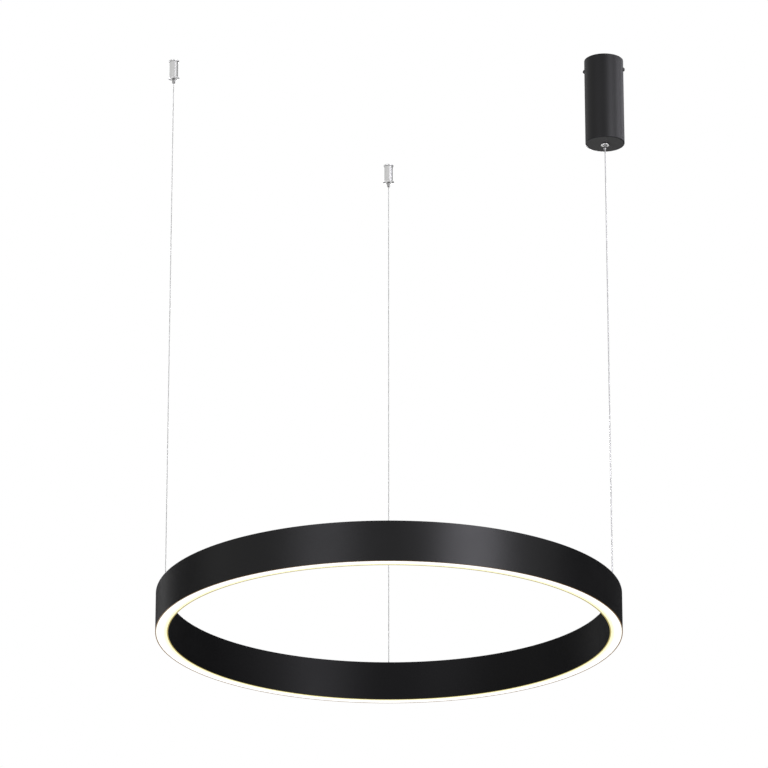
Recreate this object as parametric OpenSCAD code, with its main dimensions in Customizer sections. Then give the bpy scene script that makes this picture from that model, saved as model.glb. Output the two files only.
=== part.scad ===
// Ring pendant light. A rolled aluminium ring with a clip-in opal diffuser hangs level on
// three thin cables. Two cables end in ceiling anchors. The third also feeds the lamp and
// ends in a cylinder canopy that holds the driver. Each cable runs through a gripper that
// lets it go when its plunger is pressed up, so the ring's height can be set.
// Sizes are millimetres and +Z is up. The origin is the point of the ceiling straight above
// the ring's centre, so everything hangs below Z = 0.

/* [Ring] */
// Outer diameter of the ring
ring_od = 800; // [600:10:1200]
// Width of the ring's profile
ring_w = 22; // [21:0.5:32]
// Height of the ring's profile
ring_h = 70; // [62:1:90]
// Thickness of the profile's two walls
ring_wall = 1.6; // [1.2:0.1:2]
// Thickness of the profile's two webs
web_t = 2; // [1.5:0.1:3]
// Depth of the top web below the rim
web_recess = 3.5; // [3:0.1:5]
// Height of the light chamber above the ring's lower edge
chamber_h = 22; // [16:1:28]
// Width of the LED tape
tape_w = 10; // [8:0.5:10]
// Thickness of the LED tape
tape_t = 0.3; // [0.2:0.05:0.5]
// Height of the rails that guide the tape
rail_h = 1; // [0.8:0.1:1.2]
// Number of LED chips on the tape
chip_count = 144; // [72:12:180]
// Thickness of the diffuser's lens
lens_t = 1.5; // [1:0.1:2.4]
// Height of the diffuser's clip legs
clip_h = 6; // [5.5:0.1:8]

/* [Suspension] */
// Distance from the ceiling to the ring's lower edge
drop = 1040; // [700:10:2000]
// Angle from the far cable to each side cable, seen from above
hang_angle = 102; // [95:1:120]
// Diameter of the two steel cables
cable_d = 1.5; // [1.2:0.1:1.8]
// Diameter of the power cable
power_d = 2; // [1.8:0.1:2.2]
// Diameter of the bushing heads in the ring's top
bushing_head_d = 11; // [10:0.5:13]
// Height of the bushing heads
bushing_head_t = 2.2; // [1.5:0.1:2.8]
// Diameter of the bushings' threaded shanks
bushing_d = 8; // [8:0.1:9]
// Length of the bushings' shanks below the heads
bushing_len = 12; // [11:0.5:18]
// Width of the bushing nuts across their flats
bushing_nut_w = 13; // [12:0.5:14]
// Thickness of the bushing nuts
bushing_nut_t = 4; // [3:0.5:5]
// Diameter of the ball ends on the steel cables
ball_end_d = 5.2; // [5:0.1:5.4]

/* [Anchors] */
// Height of a ceiling anchor without its plunger
anchor_h = 35; // [33:1:50]
// Diameter of the anchor's barrel
barrel_d = 15; // [14:0.5:17]
// Diameter of the flange at the barrel's foot
foot_d = 20; // [19:0.5:26]
// Thickness of the flange at the barrel's foot
foot_t = 2.2; // [1.5:0.1:4]
// Diameter of the anchor's base on the ceiling
base_d = 18; // [18:0.5:24]
// Thickness of the base's flange
base_t = 2; // [1.5:0.1:3]
// Diameter of the base's threaded stud
stud_d = 10; // [9.6:0.1:11]
// Diameter of the hole for the ceiling screw
ceiling_screw_d = 4; // [3.5:0.1:4.2]
// Diameter of the counterbore for that screw's head
ceiling_head_d = 6.6; // [6:0.1:6.8]
// Depth of that counterbore
ceiling_head_t = 3.5; // [2.5:0.1:5]

/* [Grippers] */
// Diameter of the plungers
plunger_d = 5.2; // [5:0.1:5.4]
// How far an anchor's plunger stands out at rest
plunger_out = 8; // [7:0.5:10]
// Diameter of the grip balls
grip_ball_d = 2; // [1.8:0.1:2.2]
// Height of the collar that the spring pushes
collar_t = 1; // [0.8:0.1:1.5]
// Diameter of the spring's wire
spring_wire_d = 0.5; // [0.4:0.05:0.6]
// Turns of each spring
spring_turns = 5; // [4:1:7]

/* [Canopy] */
// Diameter of the canopy
canopy_d = 69; // [67:1:90]
// Height of the canopy
canopy_h = 160; // [160:1:200]
// Wall thickness of the canopy
canopy_wall = 1.2; // [1:0.1:1.6]
// Radius of the canopy's lower edge
canopy_edge = 2; // [1.6:0.1:4]
// Turn of the canopy's bracket about the vertical
canopy_turn = -9; // [-30:1:30]
// Distance of the side screws from the ceiling
side_screw_drop = 18.5; // [15:0.5:20]
// Head diameter of the side screws
side_head_d = 7.5; // [6:0.5:9]
// Head height of the side screws
side_head_h = 3; // [2:0.1:3.4]
// Thickness of the bracket's sheet steel
bracket_t = 1.5; // [1.2:0.1:2]
// Width of the bracket's strap
strap_w = 20; // [18:0.5:24]
// Diameter of the circle that the two ceiling screw holes lie on
slot_circle_d = 44; // [42:0.5:46]
// Diameter of the ceiling screw holes
bracket_hole_d = 4.5; // [4:0.1:5]
// Diameter of the hole for the mains cable
mains_hole_d = 12; // [9:0.5:12]
// Diameter of the gland's flange below the canopy
gland_d = 15; // [14.6:0.1:20]
// Thickness of that flange
gland_t = 2.5; // [2:0.1:4]
// Diameter of the gland's threaded neck
neck_d = 10; // [9.8:0.1:11]
// Width of the gland's nut across its flats
gland_nut_w = 14; // [13.5:0.5:17]
// Thickness of the gland's nut
gland_nut_t = 4; // [3:0.5:6]

/* [Driver] */
// Width of the LED driver
driver_w = 40; // [30:1:42]
// Depth of the LED driver
driver_d = 26; // [20:1:28]
// Height of the LED driver
driver_h = 94; // [60:1:96]
// Distance of the driver's top from the ceiling
driver_drop = 32; // [31:0.5:34]
// Width of the hanger behind the driver
hanger_w = 30; // [26:1:32]
// Width of the terminal block
terminal_w = 26; // [20:1:30]
// Height of the terminal block
terminal_h = 14; // [11:0.5:15]
// Depth of the terminal block
terminal_d = 15; // [12:0.5:18]

/* [Hidden] */
$fn = 72;
// Segments of the circles that run round the whole ring
ring_fn = 180;
// Overshoot of a cut past the face that it opens
cut = 1;

// Radial clearance of a thread or a screw in its hole
thread_gap = 0.05;
// Radial clearance of a plain hole round what passes through it
hole_gap = 0.1;
// Radial running clearance of a plunger in its guide
slide_gap = 0.08;
// Clearance between pieces that rest on each other and can move apart
seat_gap = 0.05;

// Hexagon socket of a screw: its floor and its width, as shares of the head's height and
// diameter
socket_floor = 0.45;
socket_share = 0.4;

// Places of the three cables
far_at = 90;
left_at = 90 + hang_angle;
power_at = 90 - hang_angle;
hang_r = ring_od / 2 - ring_w / 2;

// Levels of the ring
rim_z = ring_h - drop;
web_z = rim_z - web_recess;
tape_web_z = chamber_h - drop;
inner_half = ring_w / 2 - ring_wall;
web_fillet = 1;

// Tape and its rails
tape_gap = 0.2;
rail_t = 0.8;
rail_out = tape_w / 2 + tape_gap + rail_t;
chip_size = [2.8, 3.5, 0.7];
lead_hole_x = (rail_out + inner_half) / 2;
lead_hole_d = 2;

// Diffuser: the lens lies just inside the lower edge, and a bead on each leg snaps over a
// rib on the wall
lens_inset = 0.3;
lens_gap = 0.15;
rib_r = 0.6;
bead_r = 0.5;
leg_t = 1;
leg_gap = rib_r + lens_gap;
bead_z = clip_h - bead_r;
snap_gap = 0.2;
rib_z = bead_z - bead_r - snap_gap - rib_r;

// Gripper: the cone narrows towards the mouth, so the cable's pull wedges the balls, and
// the plunger lifts them out of it
guide_r = plunger_d / 2 + slide_gap;
guide_len = 6;
mouth_edge = 0.6;
cone_r = 4.2;
cone_len = 6.5;
cone_slope = (cone_r - guide_r) / cone_len;
cone_angle = atan(cone_slope);
chamber_top = 21;
collar_gap = 0.25;
tail_top = 16;
pivot_up = 4;
plunger_lip = 0.4;
plunger_edge = 0.5;
collar_up = 0.8;
neck_len = 24;
function bore_r(r) = r + 0.65;
function grip_r(r) = r + grip_ball_d / 2 + seat_gap;
function grip_z(r) =
    guide_len + (grip_r(r) + (grip_ball_d / 2 + seat_gap) / cos(cone_angle) - guide_r)
    / cone_slope;
function collar_z(r) = grip_z(r) + grip_ball_d / 2 + collar_up;
function collar_r(r) = guide_r + (collar_z(r) - guide_len) * cone_slope - collar_gap;

// Anchors
anchor_mouth = -anchor_h;
stud_end = chamber_top - anchor_h;

// Cable ends in the ring
ball_end_r = ball_end_d / 2;
steel_bore_r = cable_d / 2 + 1.05;
power_bore_r = power_d / 2 + 1.9;
socket_r = ball_end_r + 0.2;
seat_z = web_z - 6;
ball_end_z = seat_z + steel_bore_r - (ball_end_r + seat_gap) * sqrt(2);
shank_end = web_z - bushing_len;
stem_r = steel_bore_r - 0.35;
stem_len = 4.5;
cable_clear = 0.25;
cup_wall = 1.2;
cup_r = power_bore_r + cup_wall;
cup_len = 10;
cup_depth = 4;
cup_gap = 0.3;
power_end_z = shank_end - cup_depth + cup_gap;

// Canopy and what it holds
canopy_r = canopy_d / 2;
canopy_in = canopy_r - canopy_wall;
rim_gap = 0.3;
tab_gap = 1.2;
bracket_reach = canopy_in - tab_gap;
strap_gap = 0.4;
tab_w = 14;
tab_end = side_screw_drop + tab_w / 2;
side_screw_d = 4;
side_screw_len = 6;
canopy_mouth = -canopy_h - gland_t;
power_out = plunger_out - 1;
small_screw_d = 3;
small_head_d = 5.6;
small_head_t = 1.8;
hanger_foot = 9.5;
hanger_screw_x = 10;
hanger_screw_in = 2.5;
hanger_screw_y = driver_d / 2 + bracket_t - hanger_foot + hanger_screw_in;
hanger_end = 8;
ear_t = 1.6;
ear_w = 14;
ear_len = 8;
driver_corner = 2;
lid_step = 0.5;
lid_inset = 1.5;
terminal_drop = 6;

pole_w = terminal_w / 3;
terminal_front = driver_d / 2 - terminal_d;
clamp_d = pole_w / 2;
clamp_depth = terminal_d * 0.6;
groove_w = 1.2;
groove_depth = terminal_d * 0.35;
well_y = terminal_front + terminal_d * 0.75;
well_d = 2.4;

// Leads
lead_r = 0.5;
lead_sides = 8;
lead_steps = 3;
spring_sides = 5;
spring_steps = 10;
// Route of a lead from its well in the terminal block to the driver: sideways and forwards
// from the well, and the share of the way down
input_route = [[0, 0, 0], [0, 0, 0.3], [0, -1, 0.5], [-2, -4, 0.7], [-3, -5, 0.85],
               [-3, -5, 1]];
// Depth of a lead's end in its well
well_depth = 3;
// Route of a lead from the driver's foot to the tail of the power cable, sideways, and the
// share of the way down
output_route = [[8, 0], [8, 0.3], [6, 0.6], [2, 0.7], [0.6, 0.85], [0.6, 1]];
output_drop = 8;
// Clearance at each end of a lead
lead_gap = 0.2;
driver_foot = -driver_drop - driver_h;
tail_end = driver_foot - output_drop - 2 * lead_gap;

// Puts the children at one cable's place
module at_cable(angle) {
    translate([hang_r * cos(angle), hang_r * sin(angle), 0]) children();
}

// Puts the children in the canopy, turned with its bracket
module in_canopy() {
    at_cable(power_at) rotate(canopy_turn) children();
}

function unit(v) = v / norm(v);
function mix(a, b, t) = a + (b - a) * t;

// Direction of a route at point i
function heading(p, i) = unit(p[min(i + 1, len(p) - 1)] - p[max(i - 1, 0)]);

// One side direction for each point, carried along the route without twist
function sideways(p, last, i = 0) =
    let (t = heading(p, i), side = unit(last - (last * t) * t))
    i == len(p) - 1 ? [side] : concat([side], sideways(p, side, i + 1));

// Smooth curve through hand-set points, with each stretch cut into steps
function curve(p, steps) = [
    for (i = [0 : len(p) - 2], k = [0 : steps - 1])
        let (a = p[max(i - 1, 0)], b = p[i], c = p[i + 1], d = p[min(i + 2, len(p) - 1)],
             t = k / steps)
        0.5 * (2 * b + (c - a) * t + (2 * a - 5 * b + 4 * c - d) * t ^ 2
               + (3 * b - a - 3 * c + d) * t ^ 3),
    p[len(p) - 1]
];

// Round tube along a route, as one closed mesh of triangles
module tube(p, r, sides) {
    side = sideways(p, [0.123, 0.8, 0.31]);
    points = [
        for (i = [0 : len(p) - 1], k = [0 : sides - 1])
            p[i] + r * (cos(360 * k / sides) * side[i]
                        + sin(360 * k / sides) * cross(heading(p, i), side[i]))
    ];
    last = (len(p) - 1) * sides;
    walls = [
        for (i = [0 : len(p) - 2], k = [0 : sides - 1], half = [0, 1])
            let (a = i * sides + k, b = i * sides + (k + 1) % sides)
            half == 0 ? [a, a + sides, b] : [b, a + sides, b + sides]
    ];
    ends = [
        for (k = [1 : sides - 2], far = [0, 1])
            far == 0 ? [0, k, k + 1] : [last, last + k + 1, last + k]
    ];
    polyhedron(points, concat(walls, ends));
}

// Rectangle with round corners
module round_rect(w, d, r) {
    square([w - 2 * r, d], center = true);
    square([w, d - 2 * r], center = true);
    for (x = [-1, 1], y = [-1, 1]) {
        translate([x * (w / 2 - r), y * (d / 2 - r)]) circle(r);
    }
}

// Screw along Z with a domed head that stands up from Z = 0
module dome_screw(head_d, head_h, screw_d, long) {
    dome = (head_d ^ 2 / 4 + head_h ^ 2) / (2 * head_h);
    difference() {
        rotate_extrude() {
            intersection() {
                translate([0, head_h - dome]) circle(dome);
                square([head_d / 2, head_h]);
            }
            translate([0, -long]) square([screw_d / 2 - thread_gap, long]);
        }
        translate([0, 0, head_h * socket_floor]) {
            cylinder(d = head_d * socket_share, h = head_h, $fn = 6);
        }
    }
}

// Canopy

// Half section of a cup with a round foot
module cup_section(r, h, edge) {
    square([r - edge, h]);
    translate([0, edge]) square([r, h - edge]);
    translate([r - edge, edge]) circle(edge);
}

module canopy_shell() {
    color("#1c1c1e") in_canopy() difference() {
        translate([0, 0, -canopy_h]) rotate_extrude() difference() {
            cup_section(canopy_r, canopy_h - rim_gap, canopy_edge);
            translate([0, canopy_wall]) {
                cup_section(canopy_in, canopy_h, canopy_edge - canopy_wall);
            }
        }
        translate([0, 0, -canopy_h - cut]) {
            cylinder(d = neck_d + 2 * hole_gap, h = canopy_wall + 2 * cut);
        }
        for (side = [0, 180]) rotate(side) {
            translate([canopy_in - cut, 0, -side_screw_drop]) rotate([0, 90, 0]) {
                cylinder(d = side_screw_d + 2 * hole_gap, h = canopy_wall + 2 * cut);
            }
        }
    }
}

module canopy_bracket() {
    color("#b9bcc0") in_canopy() difference() {
        union() {
            translate([0, 0, -bracket_t]) linear_extrude(bracket_t) intersection() {
                square([2 * bracket_reach, strap_w], center = true);
                circle(canopy_in - strap_gap);
            }
            for (side = [0, 180]) rotate(side) {
                translate([bracket_reach - bracket_t, -tab_w / 2, -tab_end]) {
                    cube([bracket_t, tab_w, tab_end]);
                }
            }
        }
        translate([0, 0, -bracket_t - cut]) {
            cylinder(d = mains_hole_d, h = bracket_t + 2 * cut);
            for (x = [-1, 1]) {
                translate([x * slot_circle_d / 2, 0, 0]) {
                    cylinder(d = bracket_hole_d, h = bracket_t + 2 * cut);
                }
                translate([x * hanger_screw_x, hanger_screw_y, 0]) {
                    cylinder(d = small_screw_d, h = bracket_t + 2 * cut);
                }
            }
        }
        for (side = [0, 180]) rotate(side) {
            translate([bracket_reach - bracket_t - cut, 0, -side_screw_drop]) {
                rotate([0, 90, 0]) cylinder(d = side_screw_d, h = bracket_t + 2 * cut);
            }
        }
    }
}

module canopy_screws() {
    color("#202022") in_canopy() for (side = [0, 180]) rotate(side) {
        translate([canopy_r + seat_gap, 0, -side_screw_drop]) rotate([0, 90, 0]) {
            dome_screw(side_head_d, side_head_h, side_screw_d, side_screw_len);
        }
    }
}

module driver_hanger() {
    back = driver_d / 2;
    low = driver_drop + driver_h + hanger_end;
    color("#b9bcc0") in_canopy() difference() {
        union() {
            translate([-hanger_w / 2, back, -low]) {
                cube([hanger_w, bracket_t, low - bracket_t]);
            }
            translate([-hanger_w / 2, back + bracket_t - hanger_foot, -2 * bracket_t]) {
                cube([hanger_w, hanger_foot, bracket_t]);
            }
        }
        for (x = [-1, 1]) translate([x * hanger_screw_x, hanger_screw_y, 0]) {
            translate([0, 0, -2 * bracket_t - cut]) {
                cylinder(d = small_screw_d + 2 * hole_gap, h = bracket_t + 2 * cut);
            }
        }
        for (z = driver_ear_levels()) translate([0, back - cut, z]) {
            rotate([-90, 0, 0]) cylinder(d = small_screw_d, h = bracket_t + 2 * cut);
        }
    }
}

module hanger_screws() {
    color("#d0d2d4") in_canopy() for (x = [-1, 1]) {
        translate([x * hanger_screw_x, hanger_screw_y, -2 * bracket_t]) {
            rotate([180, 0, 0]) {
                dome_screw(small_head_d, small_head_t, small_screw_d, 1.8 * bracket_t);
            }
        }
    }
}

// Levels of the screws in the driver's two ears
function driver_ear_levels() = [
    -driver_drop + ear_len / 2, driver_foot - ear_len / 2
];

module led_driver() {
    back = driver_d / 2;
    color("#e8e8e4") in_canopy() difference() {
        union() {
            translate([0, 0, driver_foot]) linear_extrude(driver_h) {
                round_rect(driver_w, driver_d, driver_corner);
            }
            translate([-ear_w / 2, back - ear_t, driver_foot - ear_len]) {
                cube([ear_w, ear_t, driver_h + 2 * ear_len]);
            }
        }
        for (z = driver_ear_levels()) translate([0, back - ear_t - cut, z]) {
            rotate([-90, 0, 0]) {
                cylinder(d = small_screw_d + 2 * hole_gap, h = ear_t + 2 * cut);
            }
        }
        // a step round the lid at each end
        for (z = [-driver_drop - lid_step, driver_foot - cut]) translate([0, 0, z]) {
            linear_extrude(lid_step + cut) difference() {
                square([driver_w + cut, driver_d - 2 * ear_t], center = true);
                round_rect(driver_w - 2 * lid_inset, driver_d - 2 * (ear_t + lid_inset),
                           driver_corner);
            }
        }
    }
}

module driver_screws() {
    color("#d0d2d4") in_canopy() for (z = driver_ear_levels()) {
        translate([0, driver_d / 2 - ear_t, z]) rotate([90, 0, 0]) {
            dome_screw(small_head_d, small_head_t, small_screw_d, ear_t + 2 * bracket_t);
        }
    }
}

module terminal_block() {
    color("#f2f2ee") in_canopy() difference() {
        translate([-terminal_w / 2, terminal_front, -terminal_drop - terminal_h]) {
            cube([terminal_w, terminal_d, terminal_h]);
        }
        for (k = [-1, 0, 1]) {
            translate([k * pole_w, terminal_front - cut, -terminal_drop - terminal_h / 2]) {
                rotate([-90, 0, 0]) cylinder(d = clamp_d, h = clamp_depth + cut);
            }
            translate([k * pole_w, well_y, -terminal_drop - terminal_h - cut]) {
                cylinder(d = well_d, h = terminal_h + 2 * cut);
            }
        }
        // grooves between the poles
        for (k = [-0.5, 0.5]) {
            translate([k * pole_w - groove_w / 2, terminal_front - cut,
                       -terminal_drop - terminal_h - cut]) {
                cube([groove_w, groove_depth + cut, terminal_h + 2 * cut]);
            }
        }
    }
}

module input_leads() {
    top = -terminal_drop - terminal_h + well_depth;
    down = top + driver_drop - lead_gap;
    color("#7a5a3a") in_canopy() for (side = [-1, 1]) {
        translate([side * pole_w, well_y, top]) {
            tube(curve([for (p = input_route) [side * p[0], p[1], -down * p[2]]],
                       lead_steps), lead_r, lead_sides);
        }
    }
}

module output_leads() {
    color("#303030") in_canopy() translate([0, 0, driver_foot - lead_gap]) {
        for (side = [-1, 1]) {
            tube(curve([for (p = output_route) [side * p[0], 0, -output_drop * p[1]]],
                       lead_steps), lead_r, lead_sides);
        }
    }
}

// Grippers

// Space inside a gripper, up from its mouth at Z = 0
module grip_space(top) {
    rotate_extrude() polygon([
        [0, -cut], [guide_r + mouth_edge + cut, -cut], [guide_r, mouth_edge],
        [guide_r, guide_len], [cone_r, guide_len + cone_len], [cone_r, top], [0, top]
    ]);
}

module plunger(r, out) {
    outer = plunger_d / 2;
    inner = bore_r(r);
    top = collar_z(r) + collar_t;
    color("#d4d6d8") difference() {
        rotate_extrude() polygon([
            [inner, plunger_lip - out], [inner + plunger_lip, -out],
            [outer - plunger_edge, -out], [outer, plunger_edge - out],
            [outer, collar_z(r)], [collar_r(r), collar_z(r)], [collar_r(r), top],
            [inner, top]
        ]);
        for (k = [0 : 2]) rotate(120 * k) translate([0, 0, grip_z(r)]) {
            rotate([0, 90, 0]) cylinder(r = grip_ball_d / 2 + seat_gap, h = plunger_d);
        }
    }
}

module grip_balls(r) {
    color("#e6e8ea") for (k = [0 : 2]) rotate(120 * k) {
        translate([grip_r(r), 0, grip_z(r)]) sphere(d = grip_ball_d);
    }
}

// Tapered spring from the plunger's collar up to the chamber's top
module grip_spring(r) {
    wire = spring_wire_d / 2;
    low = collar_z(r) + collar_t + wire + seat_gap;
    high = chamber_top - wire - seat_gap;
    narrow = collar_r(r) - wire - seat_gap;
    wide = cone_r - wire - collar_gap;
    count = spring_turns * spring_steps;
    color("#c8cacc") tube([
        for (i = [0 : count])
            let (t = i / count, a = 360 * spring_turns * t, q = mix(narrow, wide, t))
            [q * cos(a), q * sin(a), mix(low, high, t)]
    ], wire, spring_sides);
}

// Stretch of a cable that the gripper holds, above the point that the cable swings about
module cable_tail(r, out, top) {
    low = pivot_up - out + r + 0.3;
    translate([0, 0, low]) cylinder(r = r, h = top - low);
}

// Cable with round ends, from the point that it swings about down to its end in the ring
module cable(r, high, low) {
    translate([0, 0, low + r]) cylinder(r = r, h = high - low - r);
    translate([0, 0, high]) sphere(r);
    translate([0, 0, low + r]) sphere(r);
}

module gland_body() {
    edge = 0.8;
    color("#d4d6d8") in_canopy() translate([0, 0, canopy_mouth]) difference() {
        rotate_extrude() {
            square([gland_d / 2 - edge, gland_t]);
            translate([0, edge]) square([gland_d / 2, gland_t - edge]);
            translate([gland_d / 2 - edge, edge]) circle(edge);
            square([neck_d / 2, neck_len]);
        }
        grip_space(neck_len + cut);
    }
}

module gland_nut() {
    color("#c4a860") in_canopy() translate([0, 0, canopy_wall - canopy_h]) difference() {
        cylinder(d = gland_nut_w / cos(30), h = gland_nut_t, $fn = 6);
        translate([0, 0, -cut]) {
            cylinder(r = neck_d / 2 + thread_gap, h = gland_nut_t + 2 * cut);
        }
    }
}

module gland_cap() {
    color("#c4a860") in_canopy() translate([0, 0, canopy_mouth]) difference() {
        translate([0, 0, chamber_top]) {
            cylinder(r = cone_r - thread_gap, h = neck_len - chamber_top);
        }
        cylinder(r = power_d / 2 + hole_gap, h = neck_len + cut);
    }
}

module power_plunger() {
    in_canopy() translate([0, 0, canopy_mouth]) plunger(power_d / 2, power_out);
}

module power_spring() {
    in_canopy() translate([0, 0, canopy_mouth]) grip_spring(power_d / 2);
}

module power_grip_balls() {
    in_canopy() translate([0, 0, canopy_mouth]) grip_balls(power_d / 2);
}

module power_cable_tail() {
    color("#c9cac8") in_canopy() translate([0, 0, canopy_mouth]) {
        cable_tail(power_d / 2, power_out, tail_end - canopy_mouth);
    }
}

module power_cable() {
    high = canopy_mouth + pivot_up - power_out;
    color("#c9cac8") at_cable(power_at) cable(power_d / 2, high, power_end_z);
}

// Strain relief that holds the power cable under its bushing
module power_cable_end() {
    color("#303032") at_cable(power_at) translate([0, 0, shank_end - cup_len]) {
        rotate_extrude() difference() {
            square([cup_r, cup_len]);
            translate([0, cup_len - cup_depth]) square([power_bore_r, cup_depth + cut]);
        }
    }
}

// Ceiling anchors

module anchor_base(angle) {
    edge = base_t / 2;
    color("#d4d6d8") at_cable(angle) difference() {
        rotate_extrude() {
            translate([0, -base_t]) square([base_d / 2 - edge, base_t]);
            translate([0, -edge]) square([base_d / 2, edge]);
            translate([base_d / 2 - edge, -edge]) circle(edge);
            translate([0, stud_end]) square([stud_d / 2, -stud_end]);
        }
        translate([0, 0, stud_end - cut]) {
            cylinder(d = ceiling_screw_d, h = 2 * cut - stud_end);
            cylinder(d = ceiling_head_d, h = ceiling_head_t + cut);
        }
        // the base's flat top is level with the ceiling
        translate([0, 0, cut]) cube([2 * base_d, 2 * base_d, 2 * cut], center = true);
    }
}

module barrel(angle) {
    r = barrel_d / 2;
    foot = foot_d / 2;
    edge = foot_t / 4;
    top = anchor_h - base_t;
    color("#d4d6d8") at_cable(angle) translate([0, 0, anchor_mouth]) difference() {
        rotate_extrude() polygon([
            [0, 0], [foot - 3, 0], [foot - edge, 2 * edge], [foot, 3 * edge],
            [foot - edge, 4 * edge], [r + edge, 5 * edge], [r, 6 * edge],
            [r, top - edge], [r - edge, top], [0, top]
        ]);
        grip_space(chamber_top + cut / 2);
        translate([0, 0, chamber_top]) {
            cylinder(r = stud_d / 2 + thread_gap, h = anchor_h);
        }
    }
}

module anchor_plunger(angle) {
    at_cable(angle) translate([0, 0, anchor_mouth]) plunger(cable_d / 2, plunger_out);
}

module anchor_spring(angle) {
    at_cable(angle) translate([0, 0, anchor_mouth]) grip_spring(cable_d / 2);
}

module anchor_balls(angle) {
    at_cable(angle) translate([0, 0, anchor_mouth]) grip_balls(cable_d / 2);
}

module anchor_tail(angle) {
    color("#c9cac8") at_cable(angle) translate([0, 0, anchor_mouth]) {
        cable_tail(cable_d / 2, plunger_out, tail_top);
    }
}

module steel_cable(angle) {
    high = anchor_mouth + pivot_up - plunger_out;
    color("#c9cac8") at_cable(angle) cable(cable_d / 2, high, ball_end_z - cable_d / 2);
}

// Swaged ball and stem at the lower end of a steel cable
module cable_end(angle) {
    color("#d4d6d8") at_cable(angle) translate([0, 0, ball_end_z]) difference() {
        union() {
            sphere(ball_end_r);
            cylinder(r = stem_r, h = stem_len);
        }
        cylinder(r = cable_d / 2 + cable_clear, h = stem_len + cut);
        sphere(cable_d / 2 + cable_clear);
    }
}

module left_anchor_base() { anchor_base(left_at); }
module left_barrel() { barrel(left_at); }
module left_plunger() { anchor_plunger(left_at); }
module left_spring() { anchor_spring(left_at); }
module left_grip_balls() { anchor_balls(left_at); }
module left_cable_tail() { anchor_tail(left_at); }
module left_cable() { steel_cable(left_at); }
module left_cable_end() { cable_end(left_at); }
module far_anchor_base() { anchor_base(far_at); }
module far_barrel() { barrel(far_at); }
module far_plunger() { anchor_plunger(far_at); }
module far_spring() { anchor_spring(far_at); }
module far_grip_balls() { anchor_balls(far_at); }
module far_cable_tail() { anchor_tail(far_at); }
module far_cable() { steel_cable(far_at); }
module far_cable_end() { cable_end(far_at); }

// Ring

// Section of the extruded profile, with its middle at X = 0 and its lower edge at Y = 0
module ring_section() {
    edge = ring_wall / 4;
    for (side = [0, 1]) mirror([side, 0]) {
        translate([inner_half, edge]) square([ring_wall, ring_h - 2 * edge]);
        translate([inner_half + edge, 0]) square([ring_wall - 2 * edge, ring_h]);
        for (x = [edge, ring_wall - edge], y = [edge, ring_h - edge]) {
            translate([inner_half + x, y]) circle(edge);
        }
        translate([inner_half, rib_z]) intersection() {
            circle(rib_r);
            translate([-rib_r, -rib_r]) square([rib_r + edge, 2 * rib_r]);
        }
        translate([rail_out - rail_t, chamber_h - rail_h]) square([rail_t, rail_h + edge]);
        // a fillet where each web meets the wall
        for (y = [chamber_h + web_t, ring_h - web_recess]) {
            translate([inner_half, y]) fillet_section(web_fillet);
        }
        translate([inner_half, ring_h - web_recess - web_t]) mirror([0, 1]) {
            fillet_section(web_fillet);
        }
    }
    for (y = [chamber_h, ring_h - web_recess - web_t]) {
        translate([-inner_half - edge, y]) square([2 * (inner_half + edge), web_t]);
    }
}

// Fillet in the corner left of X = 0 and above Y = 0
module fillet_section(r) {
    lap = 0.2;
    difference() {
        translate([-r, -lap]) square([r + lap, r + lap]);
        translate([-r, r]) circle(r);
    }
}

// Revolves a section round the ring's axis, from the ring's lower edge up
module round_ring() {
    translate([0, 0, -drop]) rotate_extrude($fn = ring_fn) translate([hang_r, 0]) children();
}

module ring_housing() {
    color("#19191b") difference() {
        round_ring() ring_section();
        for (a = [far_at, left_at, power_at]) at_cable(a) {
            translate([0, 0, web_z - web_t - cut]) {
                cylinder(r = bushing_d / 2 + hole_gap, h = web_t + 2 * cut);
            }
        }
        at_cable(power_at) rotate(power_at) for (side = [-1, 1]) {
            translate([side * lead_hole_x, 0, tape_web_z - cut]) {
                cylinder(d = lead_hole_d, h = web_t + 2 * cut);
            }
        }
    }
}

module led_tape() {
    color("#f6f4ea") round_ring() {
        translate([-tape_w / 2, chamber_h - tape_t]) square([tape_w, tape_t]);
    }
}

module led_chips() {
    color("#f4df7a") for (k = [0 : chip_count - 1]) rotate((k + 0.5) * 360 / chip_count) {
        translate([hang_r, 0, tape_web_z - tape_t - chip_size[2] / 2]) {
            cube(chip_size, center = true);
        }
    }
}

module diffuser() {
    lens_half = inner_half - lens_gap;
    leg_x = inner_half - leg_gap - leg_t;
    color("#fffbe8") round_ring() {
        translate([-lens_half, lens_inset]) square([2 * lens_half, lens_t]);
        for (side = [0, 1]) mirror([side, 0]) {
            translate([leg_x, lens_inset]) square([leg_t, clip_h - lens_inset]);
            translate([leg_x + leg_t, bead_z]) intersection() {
                circle(bead_r);
                translate([-leg_t / 2, -bead_r]) square([leg_t, 2 * bead_r]);
            }
        }
    }
}

// Wires from the strain relief through the tape's web to the tape
module ring_leads() {
    top = shank_end - cup_len - tape_web_z - seat_gap;
    pad = -tape_t - lead_r - seat_gap;
    x = lead_hole_x;
    route = [[1, 0, top], [1, 0, top - 2], [3, 0, top - 5], [x - 1, 0, top - 9],
             [x, 0, web_t + 3], [x, 0, web_t], [x, 0, 0], [x, 0, -rail_h - 0.4],
             [rail_out + 0.9, 0, -rail_h - 1.4], [rail_out - 0.3, 0, -rail_h - 1.5],
             [rail_out - 1.3, 0, -rail_h - 0.8], [rail_out - 2.1, 0, pad]];
    color("#c03028") at_cable(power_at) rotate(power_at) translate([0, 0, tape_web_z]) {
        for (side = [-1, 1]) {
            tube(curve([for (p = route) [side * p[0], p[1], p[2]]], lead_steps),
                 lead_r, lead_sides);
        }
    }
}

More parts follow.
